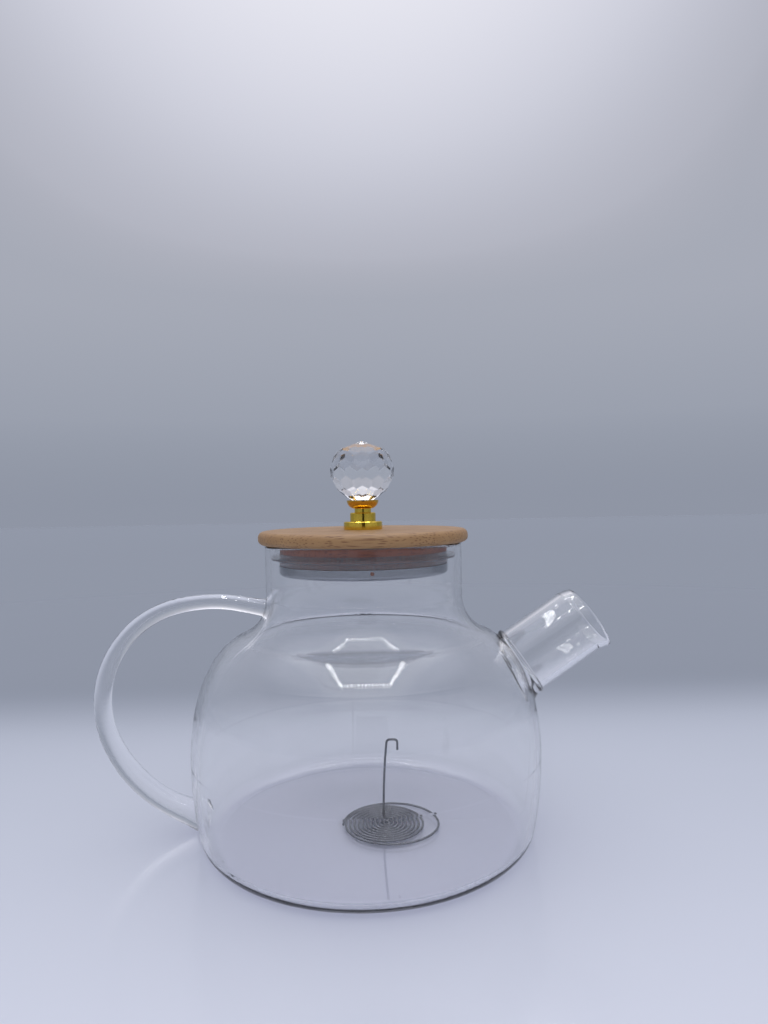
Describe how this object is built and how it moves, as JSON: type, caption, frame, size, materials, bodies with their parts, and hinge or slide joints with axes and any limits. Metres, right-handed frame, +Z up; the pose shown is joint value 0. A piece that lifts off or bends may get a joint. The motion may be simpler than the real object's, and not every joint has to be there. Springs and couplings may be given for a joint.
{
  "type": "glass teapot",
  "caption": "Clear blown glass teapot with a straight tube spout, glass rod handle, bamboo lid with a cut crystal knob, and a loose coil wire filter inside.",
  "frame": {"origin": "centre of the foot ring's plane, on the pot's axis, where it stands on the table", "axes": "+Z up along the pot's axis, +X towards the spout, -X towards the handle"},
  "size_m": [0.2103, 0.14, 0.1584],
  "materials": {
    "pot_glass": "clear polished borosilicate glass",
    "bamboo": "fine grained bamboo, satin oiled",
    "dark_bamboo": "darker carbonised bamboo, satin",
    "silicone": "translucent white silicone, satin",
    "stainless_steel": "pressed stainless sheet, polished",
    "screw_steel": "machined stainless steel",
    "gold_plate": "polished yellow gold plate",
    "orange_gold_plate": "polished orange gold plate",
    "crystal": "clear cut crystal, polished facets",
    "steel_wire": "drawn stainless wire, satin"
  },
  "bodies": {
    "pot": {"pot_body": "pot_glass", "pot_spout": "pot_glass", "pot_handle": "pot_glass"},
    "lid": {"lid_disc": "bamboo", "lid_plug": "dark_bamboo", "lid_seal": "silicone", "lid_under_cap": "stainless_steel", "screw_washer": "screw_steel", "lid_screw": "screw_steel", "knob_base": "gold_plate", "knob_dish": "orange_gold_plate", "crystal_ball": "crystal"},
    "filter": {"coil_filter": "steel_wire"}
  },
  "joints": [
    {"name": "lid_lift", "type": "slide", "parent": "pot", "child": "lid", "axis": [0, 0, 1], "range_m": [0, 0.06]},
    {"name": "filter_lift", "type": "slide", "parent": "pot", "child": "filter", "axis": [0, 0, 1], "range_m": [0, 0.06]}
  ]
}
